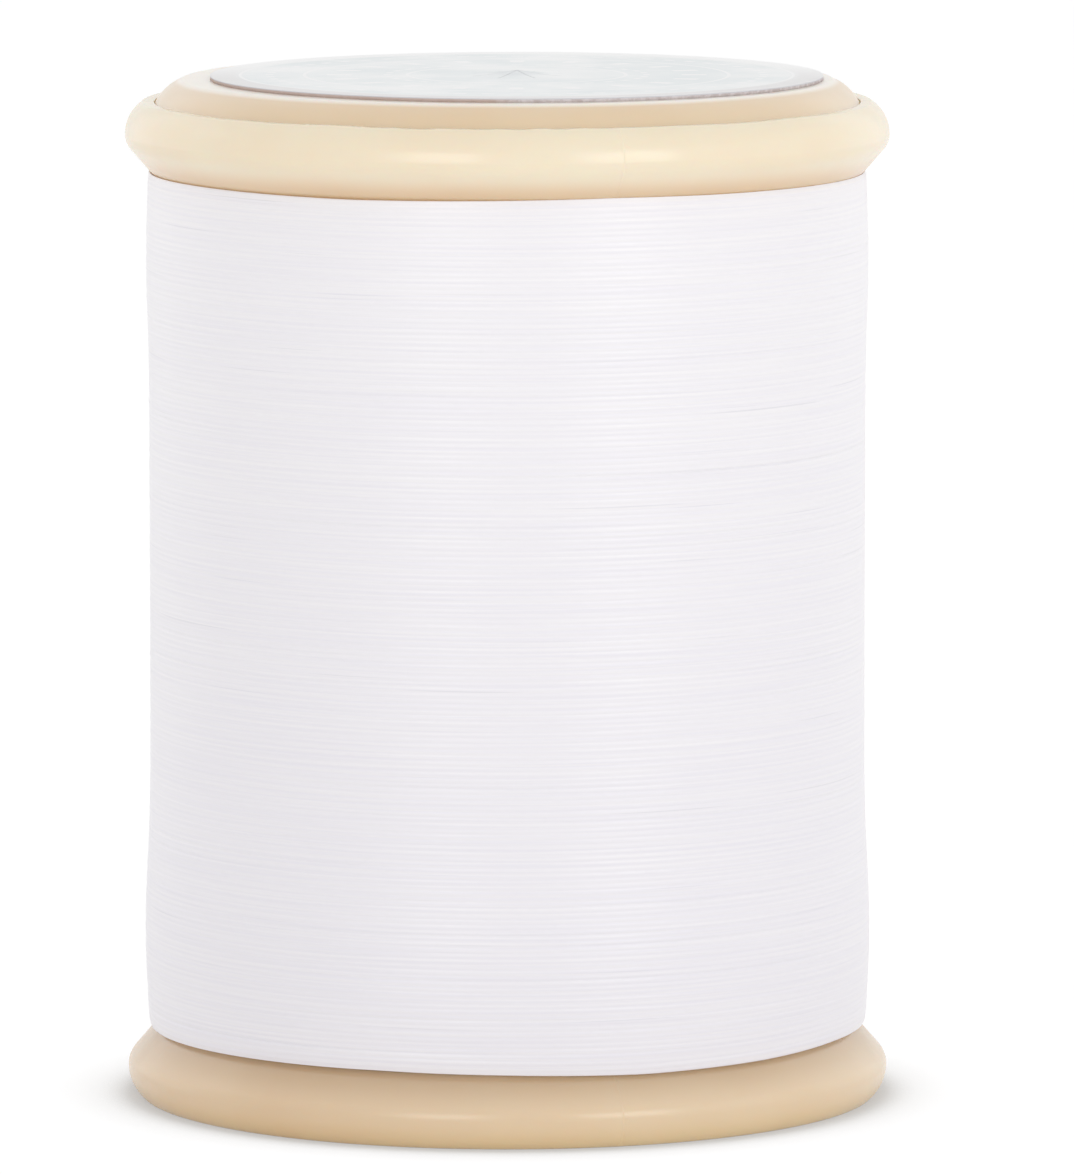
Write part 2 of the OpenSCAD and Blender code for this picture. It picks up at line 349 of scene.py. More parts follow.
# %% Spindle tube
TUBE_COLUMNS = 96
tube_outline = rounded_outline([
    (spindle_r, seat_low, TIGHT),
    (spindle_r, seat_high, TIGHT),
    (bore_r, seat_high, TIGHT),
    (bore_r, seat_low, TIGHT),
])
tube = revolve(tube_outline, np.linspace(0, 2 * np.pi, TUBE_COLUMNS, endpoint=False))
print(f"spindle tube from {bore_r:.1f} to {spindle_r:.1f} mm, {seat_high - seat_low:.1f} mm long")

# %% Ribs between the barrel and the spindle tube
RIBS = 6
rib_t, rib_root, rib_set_back = 1.2, 0.4, 4.5


def ribs():
    """Flat ribs from the tube to the barrel: the eight corners of one box, turned to each place."""
    across = np.array([spindle_r - rib_root, barrel_in_r + rib_root])
    side = np.array([-rib_t, rib_t]) / 2
    up = np.array([seat_low + rib_set_back, seat_high - rib_set_back])
    box = np.stack(np.meshgrid(across, side, up, indexing="ij"), 3).reshape(-1, 3)
    quads = [(0, 1, 3, 2), (4, 6, 7, 5), (0, 4, 5, 1), (2, 3, 7, 6), (0, 2, 6, 4), (1, 5, 7, 3)]
    for turn in 2 * np.pi * np.arange(RIBS) / RIBS:
        c, s = math.cos(turn), math.sin(turn)
        yield box @ np.array([[c, s, 0], [-s, c, 0], [0, 0, 1]]), quads


body = make_piece("spool_moulding", *join_parts(shell, tube, *ribs()))
print("spool moulding:", len(body.data.polygons), "quads")

# %% [markdown]
# ## The two caps
#
# Each cap is a separate moulding, pushed into the barrel. The top cap stands up inside the rim,
# with a sloping edge that swells a little, a flat land for the label, and a boss that carries the
# bore on upwards. The base cap is a flat plate, set back so that the spool stands on its rim. Both
# are turned like the body, each from an outline of its own.

# %% Top cap
cap_wall, plug_len, plug_wall, clearance = 1.6, 3.5, 1.3, 0.05
crown_w, crown_h, crown_swell = 1.7, 1.5, 0.3
slope_rounding, land_rounding = 2.6, 0.3
plug_r = barrel_in_r - clearance
plug_in_r = plug_r - plug_wall
land_r = cap_r - crown_w
under_z = land_z - cap_wall
slope = np.array([-crown_w, crown_h])
slope_mid = np.array([cap_r, land_z - crown_h]) + slope / 2
slope_out = slope_mid + np.array([crown_h, crown_w]) / np.linalg.norm(slope) * crown_swell

top_cap_outline = rounded_outline([
    (bore_r, seat_high, TIGHT),
    (spindle_r, seat_high, TIGHT),
    (spindle_r, under_z, TIGHT),
    (plug_in_r, under_z, TIGHT),
    (plug_in_r, seat_high - plug_len, TIGHT),
    (plug_r, seat_high - plug_len, EDGE),
    (plug_r, under_z, TIGHT),
    (cap_r - cap_wall, under_z, TIGHT),
    (cap_r - cap_wall, seat_high, TIGHT),
    (cap_r, seat_high, TIGHT),
    (cap_r, land_z - crown_h, EDGE),
    (*slope_out, slope_rounding),
    (land_r, land_z, land_rounding),
    (bore_r, land_z, EDGE),
])
CAP_COLUMNS = 256
cap_columns = np.linspace(0, 2 * np.pi, CAP_COLUMNS, endpoint=False)
top_cap = make_piece("crown_cap", *revolve(top_cap_outline, cap_columns))
print("top cap:", len(top_cap.data.polygons), "quads")

# %% Base cap
base_r, base_face = base_high[0], base_low[2]
bore_lead, base_chamfer = 0.4, 0.4
base_cap_outline = rounded_outline([
    (bore_r, seat_low, TIGHT),
    (bore_r, base_face + bore_lead, EDGE),
    (bore_r + bore_lead, base_face, EDGE),
    (base_r - base_chamfer, base_face, EDGE),
    (base_r, base_face + base_chamfer, EDGE),
    (base_r, seat_low, TIGHT),
    (plug_r, seat_low, TIGHT),
    (plug_r, seat_low + plug_len, EDGE),
    (plug_in_r, seat_low + plug_len, TIGHT),
    (plug_in_r, seat_low, TIGHT),
])
base_cap = make_piece("foot_cap", *revolve(base_cap_outline, cap_columns))
print("base cap:", len(base_cap.data.polygons), "quads")

# %% [markdown]
# ## The label
#
# The label is a stiff round card, stuck a little off centre. A star is cut over the bore, so that
# a pin can push through, and the eight petals have lifted slightly. The cuts are hair-thin and
# hardly show. A Boolean could cut them out of a disc and would leave long, thin faces. So the card
# is one sheet worked out on a polar grid, with eight sectors that part from each other inside the
# star. A Solidify modifier then gives it its thickness, and its cut edge a material of its own.

# %% Sizes of the label
PETALS = 8
SECTOR_COLUMNS = 24
PETAL_ROWS, CARD_ROWS = 9, 18
petal_slit, petal_lift = 0.06, 0.3  # width of a cut, and height of a petal's tip
petal_margin = 0.3  # between the star and the bore's edge
petal_blunt, petal_root = 0.02, 0.08  # what the petal's tip and root stop short by
PETAL_CURVE = 1.5  # power of the petal's rise: 1 is straight, and more bends up towards the tip
edge_row, rim_row = 0.1, 0.03  # how far the last rows stand inside the card's edge
label_t = 0.25
label_r = (label_high[0] - label_low[0]) / 2
label_x = (label_high[0] + label_low[0]) / 2
star_r = bore_r - label_x - petal_margin
label_top = land_z + label_t
print(f"label of radius {label_r:.2f} mm, {label_x:.2f} mm off centre, star of radius {star_r:.2f} mm")


# %% Mesh of the label
def weld(piece, distance=0.004):
    """Joins points of a piece that lie within a distance, and counts the edges left open."""
    mesh = bmesh.new()
    mesh.from_mesh(piece.data)
    bmesh.ops.remove_doubles(mesh, verts=mesh.verts, dist=distance * MM)
    open_edges = sum(not edge.is_manifold for edge in mesh.edges)
    mesh.to_mesh(piece.data)
    mesh.free()
    return open_edges


def label_sheet():
    """The card's upper face, one grid for each petal's sector. Row by row the radius grows from
    the petal's tip to the card's edge. A sector spans 360 / 8 degrees, less the angle of half a
    slit, asin(slit / 2 / r), on either side where r is inside the star. A petal rises by
    lift * (1 - r / star radius)^1.5."""
    tip = petal_slit / 2 / math.sin(math.pi / PETALS) + petal_blunt
    inner = np.linspace(tip, star_r - petal_root, PETAL_ROWS)
    outer = np.linspace(star_r, label_r - edge_row, CARD_ROWS)
    radius = np.concatenate([inner, outer, [label_r - rim_row, label_r]])
    slit = np.where(radius < star_r - SAME_PLACE, petal_slit, 0)
    half = math.pi / PETALS - np.arcsin(slit / 2 / radius)
    across = np.linspace(-1, 1, SECTOR_COLUMNS + 1)
    sector = 2 * np.pi * np.arange(PETALS) / PETALS
    angle = sector[:, None, None] + half[None, :, None] * across
    lift = petal_lift * np.clip(1 - radius / star_r, 0, 1) ** PETAL_CURVE
    x = radius[None, :, None] * np.cos(angle) + label_x
    y = radius[None, :, None] * np.sin(angle)
    z = np.broadcast_to((label_top + lift)[None, :, None], angle.shape)
    points = np.stack([x, y, z], 3)
    rows, cols = len(radius), len(across)
    s, i, j = np.meshgrid(np.arange(PETALS), np.arange(rows - 1), np.arange(cols - 1), indexing="ij")
    corner = (s * rows + i) * cols + j
    quads = np.stack([corner, corner + cols, corner + cols + 1, corner + 1], 3)
    return points.reshape(-1, 3), quads.reshape(-1, 4)


label = make_piece("card_label", *label_sheet())
weld(label)
card = label.modifiers.new("thickness", "SOLIDIFY")
card.thickness = label_t * MM
card.offset = -1
card.material_offset_rim = 1
print(f"card of {len(label.data.polygons)} quads in {PETALS} sectors")

# %% [markdown]
# ## The winding
#
# One thread runs up the spool in close level turns, about 155 to a layer. What shows is the outer
# layer: a wall of fine ridges, each the crown of one turn. A tube for each turn would need several
# times as many faces, and most of them would be hidden. So the wall is one surface that follows
# the thread. Its rows run along the thread, five rows to a turn, and after each full circle they
# join the rows of the next turn. It is a true screw with one beginning and one end, and it is
# closed through the barrel's side into a solid.
#
# Level winding isn't quite even. The layer swells a little near both ends, each turn lies a hair
# higher or lower than the next, and here and there a turn has moved and left a deeper groove. At
# either end the thread lies against the flange for one turn before it starts back.

# %% Sizes of the winding
THREAD_D = 0.35
ROWS_PER_TURN = 5
AROUND = 120  # columns round the spool
RIDGE = 0.023  # how far a turn's crown stands out of the groove beside it
CROWN_POWER = 2.2  # of the crown's curve: 2 is round, and more is flatter
END_CLIMB = 0.1  # share of a turn's climb that is left where the thread lies against a flange
END_FADE = 1.6  # how far from either end the turns' sway fades, in millimetres
SLOW_KNOT, QUICK_KNOT = 0.13, 0.06  # share of a turn between two random values
SLOW_LIE, QUICK_LIE, QUICK_SHIFT = 0.0065, 0.002, 0.009  # their spread, in millimetres
GROOVES, GROOVE_DEPTH = 46, 0.03
GROOVE_LONG = (0.03, 0.16)  # least and greatest half length of a groove, in turns
GROOVE_PART = 0.3  # share of a turn, from its lower side, that sinks in a groove
FIRST_ROW, LAST_ROW = 0.09, 0.36  # heights above the lower and the upper flange's inner edge
wind_low, wind_high = flange_t + FIRST_ROW, flange_span - flange_t + LAST_ROW
TURNS = round((wind_high - wind_low) / THREAD_D)
pitch = (wind_high - wind_low) / (TURNS - 1 + 2 * END_CLIMB)
print(f"winding from {wind_low:.2f} to {wind_high:.2f} mm up, in {TURNS} turns of {pitch:.3f} mm")


# %% How the layer swells, climbs and sways
def layer_radius(z):
    """Radius of the layer at a height: the winding's own, a low swelling under the upper flange
    and a fuller one above the lower flange, each rise * exp(-((z - at) / width)^2), and a small
    drop at the last turns on either side, drop * exp(-distance / width)."""
    upper_rise, upper_at, upper_width = 0.17, 53, 4.5
    lower_rise, lower_at, lower_width = 0.36, 10.5, 6
    end_drop, end_width = 0.10, 0.2
    upper = upper_rise * np.exp(-(((z - upper_at) / upper_width) ** 2))
    lower = lower_rise * np.exp(-(((z - lower_at) / lower_width) ** 2))
    ends = end_drop * (np.exp(-(z - wind_low) / end_width) + np.exp(-(wind_high - z) / end_width))
    return winding_r + upper + lower - ends


def climb(turn):
    """Height after a number of turns: the lower end plus the pitch for each turn, but the first
    and the last turn climb only a tenth of it."""
    last = TURNS - 1 + END_CLIMB
    share = np.interp(turn, [0, 1, TURNS, TURNS + 1], [0, END_CLIMB, last, last + END_CLIMB])
    return wind_low + pitch * share


def end_sway(degrees, z):
    """How far the turns at either end lie above or below their level, by degrees right of the
    front. It fades with exp(-distance from the end / END_FADE)."""
    low_at = [-180, -72, -45, -20, 0, 22, 45, 65, 180]
    low = np.interp(degrees, low_at, [0, -0.16, -0.06, 0, -0.09, -0.28, -0.18, 0, 0])
    high_at = [-180, -60, -25, -8, 18, 35, 75, 180]
    high = np.interp(degrees, high_at, [0, 0.03, -0.07, 0, 0.13, 0.08, 0.05, 0])
    return low * np.exp(-(z - wind_low) / END_FADE) + high * np.exp(-(wind_high - z) / END_FADE)


layer = layer_radius(np.linspace(wind_low, wind_high, TURNS))
print(f"layer radius from {layer.min():.2f} to {layer.max():.2f} mm")


# %% Wall of turns
def winding_wall():
    """The outer layer as a grid of columns round the spool and rows along the thread. Row m at
    azimuth share a is m / 5 + a turns up. Its radius is layer_radius less ridge * |2t - 1|^2.2 at
    the share t of the way across the turn, plus what random waves along the thread add to each
    turn. The last column is the first one, a turn further up."""
    around = np.arange(AROUND + 1)[:, None] / AROUND
    row = np.arange(TURNS * ROWS_PER_TURN + 1)[None]
    along = row // ROWS_PER_TURN + around
    share = row % ROWS_PER_TURN / ROWS_PER_TURN
    slow, quick = np.arange(0, TURNS + 3, SLOW_KNOT), np.arange(0, TURNS + 3, QUICK_KNOT)
    lie = np.interp(along, slow, chance.normal(0, SLOW_LIE, len(slow)))
    lie += np.interp(along, quick, chance.normal(0, QUICK_LIE, len(quick)))
    shift = np.interp(along, quick, chance.normal(0, QUICK_SHIFT, len(quick)))
    shortest, longest = GROOVE_LONG
    for at, long in chance.uniform((2, shortest), (TURNS - 2, longest), (GROOVES, 2)):
        lie = lie - GROOVE_DEPTH * np.exp(-(((along - at) / long) ** 2)) * (share < GROOVE_PART)
    z = climb(row / ROWS_PER_TURN + around)
    r = layer_radius(z) - RIDGE * np.abs(2 * share - 1) ** CROWN_POWER + lie
    z = z + shift * (share > 0) * (along > 1) * (along < TURNS - 1)
    z = z + end_sway(360 * around - 180, z)
    angle = 2 * np.pi * around - FRONT
    return np.stack([r * np.cos(angle), r * np.sin(angle), z], 2)


wall = winding_wall()
columns_in_all, rows_in_all = wall.shape[:2]
print(f"wall of {columns_in_all - 1} columns and {rows_in_all} rows, {ROWS_PER_TURN} to a turn")

# %% [markdown]
# So far the wall is a sheet. Its last column is its first one a turn further up, so the two share
# their points, and only the last turn's points are new. Two rings of points below and two above
# lead the sheet's edges inwards, first to just inside the ends of the flanges' slopes and then to
# the barrel, where a hidden inner wall joins them. Where the screw begins and ends, its edges
# don't meet, and four faces with more than four corners fill what is left.

# %% Close the wall into a solid
number = np.arange(AROUND * rows_in_all).reshape(AROUND, rows_in_all)
spare = AROUND * rows_in_all + np.arange(ROWS_PER_TURN)
number = np.concatenate([number, [np.concatenate([number[0, ROWS_PER_TURN:], spare])]])
wall_points = np.concatenate([wall[:-1].reshape(-1, 3), wall[-1, -ROWS_PER_TURN:]])
hidden_gap, shoulder_gap = 0.02, 0.05  # between the hidden faces and the spool's own


def ring(edge, radius, drop):
    """Points at another radius beside an edge of the wall, this much lower than the edge, but
    never past the flanges' faces."""
    scale = radius / np.hypot(edge[:, 0], edge[:, 1])
    level = np.clip(edge[:, 2] - drop, flange_t + hidden_gap, core_high[2])
    return np.stack([edge[:, 0] * scale, edge[:, 1] * scale, level], 1)


shoulder_r, inner_r = bevel_end_r - shoulder_gap, barrel_r + hidden_gap
rings = [
    ring(edge, radius, drop)
    for edge, drop in ((wall[:, 0], 0), (wall[:, -1], wind_high - core_high[2]))
    for radius in (shoulder_r, inner_r)
]
first_ring = len(wall_points) + columns_in_all * np.arange(4)
low_out, high_out = number[:, 0], number[:, -1]
low_mid, low_in, high_mid, high_in = first_ring[:, None] + np.arange(columns_in_all)


def strip(*edges):
    """Quads between neighbouring edges, each a row of point numbers. Seen from outside, the first
    edge lies below or inside the second."""
    return np.concatenate([
        np.stack([a[:-1], a[1:], b[1:], b[:-1]], 1) for a, b in zip(edges[:-1], edges[1:])
    ])


wall_quads = np.stack([number[:-1, :-1], number[1:, :-1], number[1:, 1:], number[:-1, 1:]], 2)
end_quads = np.concatenate([strip(low_in, low_mid, low_out), strip(high_out, high_mid, high_in)])
inner_quads = strip(high_in, low_in)[1:-1]
turn_rows = ROWS_PER_TURN + 1
seam = [
    [low_in[1], low_in[0], low_in[-1], high_in[0], high_in[1]],
    [low_in[-1], low_in[-2], high_in[-2], high_in[-1], high_in[0]],
    [low_in[0], low_mid[0], *number[0, :turn_rows], low_mid[-1], low_in[-1]],
    [high_in[0], high_in[-1], high_mid[-1], *number[-1, : -turn_rows - 1 : -1], high_mid[0]],
]
winding_points = np.concatenate([wall_points, *rings])
winding_faces = [*wall_quads.reshape(-1, 4), *end_quads, *inner_quads, *seam]
print(f"{len(rings)} rings and {len(seam)} faces at the seam close the wall")

# %% [markdown]
# A fibre pattern has to run along the thread, so the winding gets a UV map in millimetres: U is
# the length of thread from its start, and V is the height. From one turn to the next U jumps by a
# whole turn's length, so neighbouring turns never share the same fibres.

# %% Mesh and UV map of the winding
winding = make_piece("thread_winding", winding_points, winding_faces)
row = np.broadcast_to(np.arange(rows_in_all - 1), (AROUND, rows_in_all - 1)).reshape(-1, 1)
column = np.repeat(np.arange(AROUND), rows_in_all - 1)[:, None]
length = (row // ROWS_PER_TURN + (column + np.array([0, 1, 1, 0])) / AROUND) * 2 * np.pi * winding_r
height = (row + np.array([0, 0, 1, 1])) / ROWS_PER_TURN + (column + np.array([0, 1, 1, 0])) / AROUND
corner = np.zeros(len(winding.data.loops), int)
winding.data.loops.foreach_get("vertex_index", corner)
uv = winding_points[corner, :2]
uv[: length.size] = np.stack([length.ravel(), height.ravel() * THREAD_D], 1)
uv_map = winding.data.uv_layers.new(name="along_thread")
uv_map.uv.foreach_set("vector", uv.astype(np.float32).ravel())
open_edges = weld(winding)
print(f"winding of {len(winding.data.polygons)} faces, with {open_edges} open edges")

# %% [markdown]
# ## Materials
#
# Each material is a Principled shader with a few nodes in front of it. Small helpers keep the
# node graphs short: `add` makes a node and wires it up in one line, `between` maps a value to a
# range, and `paint` turns display values from 0 to 255 into the linear colours that a shader
# needs.

# %% Helpers: colours, materials and nodes
def paint(red, green, blue):
    """A linear colour from display values, by the sRGB curve."""
    value = np.array([red, green, blue]) / 255
    linear = np.where(value <= 0.04045, value / 12.92, ((value + 0.055) / 1.055) ** 2.4)
    return (*linear, 1)


def new_material(name, **sockets):
    """A material whose Principled shader has these values on its sockets."""
    material = bpy.data.materials.new(name)
    material.use_nodes = True
    shader = material.node_tree.nodes["Principled BSDF"]
    for socket, value in sockets.items():
        shader.inputs[socket.replace("_", " ")].default_value = value
    return material, shader


def add(tree, kind, inputs=(), **settings):
    """A node of a kind, with its settings, and for each input a value or a socket to link."""
    made = tree.nodes.new("ShaderNode" + kind)
    for name, value in settings.items():
        setattr(made, name, value)
    for name, value in dict(inputs).items():
        if isinstance(value, bpy.types.NodeSocket):
            tree.links.new(value, made.inputs[name])
        else:
            made.inputs[name].default_value = value
    return made


print(f"a display value of 128 is {paint(128, 128, 128)[0]:.3f} in linear light")


# %% Helpers: places, patterns and bumps
def in_millimetres(tree):
    """The object's own coordinates, in millimetres."""
    place = add(tree, "TexCoord").outputs["Object"]
    return add(tree, "Mapping", {"Vector": place, "Scale": (1 / MM,) * 3}).outputs["Vector"]


def noise(tree, place, scale, detail=3, roughness=0.5):
    """Noise from 0 to 1 at a place, with a scale per millimetre."""
    inputs = {"Vector": place, "Scale": scale, "Detail": detail, "Roughness": roughness}
    return add(tree, "TexNoise", inputs).outputs["Fac"]


def between(tree, value, low, high, to_low=0.0, to_high=1.0, smooth=True):
    """Maps a value between two limits to another range, clamped."""
    inputs = {"Value": value, "From Min": low, "From Max": high, "To Min": to_low, "To Max": to_high}
    kind = "SMOOTHSTEP" if smooth else "LINEAR"
    return add(tree, "MapRange", inputs, interpolation_type=kind).outputs["Result"]


def calculate(tree, operation, a, b=0.0):
    """One sum of a Math node."""
    return add(tree, "Math", {0: a, 1: b}, operation=operation).outputs[0]


def mixed(tree, share, a, b, blend="MIX"):
    """Two colours mixed by a share."""
    inputs = {"Factor": share, 6: a, 7: b}
    return add(tree, "Mix", inputs, data_type="RGBA", blend_type=blend).outputs[2]


def bump(tree, height, distance, strength=1.0, before=None):
    """A bump of a real height in millimetres."""
    inputs = {"Height": height, "Distance": distance * MM, "Strength": strength}
    if before is not None:
        inputs["Normal"] = before
    return add(tree, "Bump", inputs).outputs["Normal"]


print(f"patterns count {1 / MM:.0f} millimetres to Blender's metre")

# %% [markdown]
# ## Cream plastic
#
# The plastic is a warm cream with a soft gloss. Light goes a little way into it, so it gets some
# subsurface. Its tone isn't the same all over: slow clouds, painted shade that makes the lower
# flange a deeper, darker ochre and darkens both flanges beside the thread, painted light that
# keeps the upper rim paler, a painted highlight along the cap's land, painted shade at the left
# of the foot, fine dust specks, and a surface that is neither quite smooth nor equally glossy. A
# painted image could hold all that. Noise in the object's own coordinates is chosen instead,
# because it needs no unwrapping and has no seam.

# %% Cream plastic
# Tones: a height in millimetres, and the colour there in display values. They paint shade: a
# darker lower flange, darker slopes beside the thread, and painted light on the upper rim.
FLANGE_SHADE_TONES = [
    (0, (233, 207, 164)),
    (2.4, (230, 206, 172)),
    (4.2, (208, 180, 145)),
    (50, (237, 204, 164)),
    (58.9, (237, 204, 164)),
    (60.3, (252, 235, 208)),
]
# Cap tones: darker on the foot cap, and the last, pale step is a painted highlight on the land.
CAP_TONES_LAND_HIGHLIGHT = [(6, (218, 194, 160)), (64.3, (233, 208, 172)), (64.52, (251, 241, 229))]
# The colour that darkens the lower left of the foot is painted shade.
CLOUDED, FOOT_SIDE_SHADE, DUST = (236, 208, 170), (248, 243, 238), (120, 92, 66)
CLOUD_SHARE, DUST_SHARE = 0.12, 0.55
CLOUDY = (0.35, 0.7)  # values of the noise between which a cloudy pattern comes in
SHADE_ACROSS, SHADE_UP = (6, -14), (6, 3)  # between these places, across and up, painted shade darkens the plastic
SPECK, RARE = (0.030, 0.016), (0.52, 0.6)  # edge and dark middle of a speck, and where they occur
WORN = (0.3, 0.75)  # values of the noise between which the roughness rises
GLOSS_BELOW, GLOSS_ABOVE = 0.02, 0.04  # how far wear moves the roughness either way
FLANGE_GLOSS, CAP_GLOSS, CAP_COAT = 0.22, 0.32, 0.7


def cream_plastic(name, tones, gloss, coat=0.0):
    """Moulded plastic. Its tone follows a list of (height, colour) in rising order, blended from
    each to the next, which paints shade and light by height. Clouds, painted shade at the lower
    left of the foot, dust and wear are laid over it."""
    material, shader = new_material(
        name, IOR=1.5, Specular_IOR_Level=1.0, Subsurface_Weight=0.35,
        Subsurface_Radius=(1.0, 0.6, 0.35), Subsurface_Scale=1.5 * MM,
        Coat_Weight=coat, Coat_Roughness=gloss,
    )
    tree = material.node_tree
    place = in_millimetres(tree)
    axes = add(tree, "SeparateXYZ", {"Vector": place}).outputs
    height = axes["Z"]
    # The tones by height paint shade and light.
    low, tone = tones[0][0], paint(*tones[0][1])
    for high, colour in tones[1:]:
        tone = mixed(tree, between(tree, height, low, high), tone, paint(*colour))
        low = high
    clouds = noise(tree, place, scale=0.09, detail=4)
    tone = mixed(tree, between(tree, clouds, *CLOUDY, 0, CLOUD_SHARE), tone, paint(*CLOUDED), "MULTIPLY")
    # Painted shade at the lower left of the foot.
    side, foot = between(tree, axes["X"], *SHADE_ACROSS), between(tree, height, *SHADE_UP)
    tone = mixed(tree, calculate(tree, "MULTIPLY", side, foot), tone, paint(*FOOT_SIDE_SHADE), "MULTIPLY")
    dust = add(tree, "TexVoronoi", {"Vector": place, "Scale": 0.23}).outputs["Distance"]
    rare = between(tree, noise(tree, place, scale=0.11, detail=1), *RARE)
    speck = calculate(tree, "MULTIPLY", between(tree, dust, *SPECK), rare)
    tone = mixed(tree, calculate(tree, "MULTIPLY", speck, DUST_SHARE), tone, paint(*DUST))
    tree.links.new(tone, shader.inputs["Base Color"])
    worn = noise(tree, place, scale=0.6)
    wear = between(tree, worn, *WORN, gloss - GLOSS_BELOW, gloss + GLOSS_ABOVE)
    tree.links.new(wear, shader.inputs["Roughness"])
    skin = bump(tree, noise(tree, place, scale=7, detail=2), distance=0.003, strength=0.4)
    skin = bump(tree, noise(tree, place, scale=0.35, detail=1), distance=0.02, strength=0.4, before=skin)
    tree.links.new(skin, shader.inputs["Normal"])
    return material


flange_plastic = cream_plastic("flange_plastic", FLANGE_SHADE_TONES, FLANGE_GLOSS)
cap_plastic = cream_plastic("cap_plastic", CAP_TONES_LAND_HIGHLIGHT, CAP_GLOSS, CAP_COAT)
print(f"two plastics, of roughness about {FLANGE_GLOSS} and {CAP_GLOSS}")

# %% [markdown]
# ## Label card
#
# The card has a thin silver-grey coating and a grey cut edge. Its printed border is a little
# darker than the rest at the front, and a painted reflection turns it white at the back. Painted
# shade darkens the coating over the bore. It carries a plain design of rings, stitches and
# eyelets, drawn with nothing but the distance from the card's middle and the angle round it, so
# it stays sharp at any size.

# %% Design and tones of the label card
BORDER_RING = (1.9, 0.07)  # how far the outer white line lies inside the edge, and its half width
WHITE_RINGS, RING_HALF = (13.4, 6.9), 0.09  # radius of the other two, and their half width
# Marks: radius of their middle, half width, how many go round, and how much of the wave they take
STITCHES, EYELETS, DASHES = (15.6, 0.22, 56, 0.8), (11.2, 0.75, 20, 0.30), (8.2, 0.18, 32, 0.8)
SOFT_EDGE, SOFT_END = 0.05, 0.06  # how gently a line ends across and along
CARD, CARD_PALE, CARD_BORE_SHADE = (240, 244, 245), (252, 253, 253), (224, 229, 232)
BORDER, WHITE = (239, 238, 238), (255, 255, 255)
BORDER_FROM, BORDER_WHOLE = 2.3, 1.3  # how far inside the edge the border begins and is whole
# Painted reflection: towards the back the border turns white.
BACK_REFLECTION = (-4, 8)  # between these places, from the front to the back, the border turns white
# Painted shade darkens the coating over the bore.
BORE_SHADE_FROM, BORE_SHADE_WHOLE = 0.8, 0.35  # shares of the star's radius
BORE_SHADE_SHARE, WHITE_SHARE = 0.45, 0.85
CARD_CLOUDY = (0.35, 0.68)
CARD_SMOOTH, CARD_ROUGH = 0.46, 0.58  # least and greatest roughness
print("marks round the card:", STITCHES[2], EYELETS[2], DASHES[2])


# %% Face of the label card
def label_card():
    """Silver card: rings where the radius is near a value, and stitches and eyelets where a wave
    of the angle is high inside a band of radius."""
    material, shader = new_material("label_card", Metallic=0.12, IOR=1.45)
    tree = material.node_tree
    place = in_millimetres(tree)
    centred = add(tree, "Mapping", {"Vector": place, "Location": (-label_x, 0, 0)}).outputs["Vector"]
    axes = add(tree, "SeparateXYZ", {"Vector": centred}).outputs
    flat = add(tree, "CombineXYZ", {"X": axes["X"], "Y": axes["Y"]}).outputs["Vector"]
    radius = add(tree, "VectorMath", {0: flat}, operation="LENGTH").outputs["Value"]
    angle = calculate(tree, "ARCTAN2", axes["Y"], axes["X"])

    def band(middle, half):
        """1 where |radius - middle| is under half, fading to 0 over the soft edge."""
        off = calculate(tree, "ABSOLUTE", calculate(tree, "SUBTRACT", radius, middle))
        return between(tree, off, half + SOFT_EDGE, half)

    def marks(middle, half, count, share):
        """The band, but only where cos(count * angle) is over 1 - share."""
        wave = calculate(tree, "COSINE", calculate(tree, "MULTIPLY", angle, count))
        high = between(tree, wave, 1 - share - SOFT_END, 1 - share + SOFT_END)
        return calculate(tree, "MULTIPLY", band(middle, half), high)

    clouds = noise(tree, place, scale=0.14, detail=4)
    tone = mixed(tree, between(tree, clouds, *CARD_CLOUDY), paint(*CARD), paint(*CARD_PALE))
    border = between(tree, radius, label_r - BORDER_FROM, label_r - BORDER_WHOLE)
    # A painted reflection turns the printed border white towards the back.
    back_reflection = between(tree, axes["Y"], *BACK_REFLECTION)
    border_print_and_reflection = mixed(tree, back_reflection, paint(*BORDER), paint(*WHITE))
    tone = mixed(tree, border, tone, border_print_and_reflection)
    # Painted shade over the bore.
    bore_shade = between(tree, radius, BORE_SHADE_FROM * star_r, BORE_SHADE_WHOLE * star_r, 0, BORE_SHADE_SHARE)
    tone = mixed(tree, bore_shade, tone, paint(*CARD_BORE_SHADE))
    inset, half_width = BORDER_RING
    white = band(label_r - inset, half_width)
    for middle, half, count, share in (STITCHES, EYELETS, DASHES):
        white = calculate(tree, "MAXIMUM", white, marks(middle, half, count, share))
    for middle in WHITE_RINGS:
        white = calculate(tree, "MAXIMUM", white, band(middle, RING_HALF))
    tone = mixed(tree, calculate(tree, "MULTIPLY", white, WHITE_SHARE), tone, paint(*WHITE))
    tree.links.new(tone, shader.inputs["Base Color"])
    scuffs = noise(tree, place, scale=0.5, detail=4, roughness=0.6)
    dulled = between(tree, scuffs, *WORN, CARD_SMOOTH, CARD_ROUGH)
    tree.links.new(dulled, shader.inputs["Roughness"])
    foil = bump(tree, noise(tree, place, scale=0.16, detail=2), distance=0.08, strength=0.5)
    foil = bump(tree, noise(tree, place, scale=3, detail=2), distance=0.002, strength=0.4, before=foil)
    tree.links.new(foil, shader.inputs["Normal"])
    return material


card_face = label_card()
print("face of the card:", len(card_face.node_tree.nodes), "nodes")

# %% [markdown]
# The card's cut side shows its layers. How high a point lies above the cap's land tells them
# apart, so one material draws both.

# %% Cut side of the card
FIBRE, FIBRE_PALE, BROWN_SHADE_COLOUR, COATING = (200, 190, 190), (222, 216, 218), (198, 176, 166), (224, 224, 228)
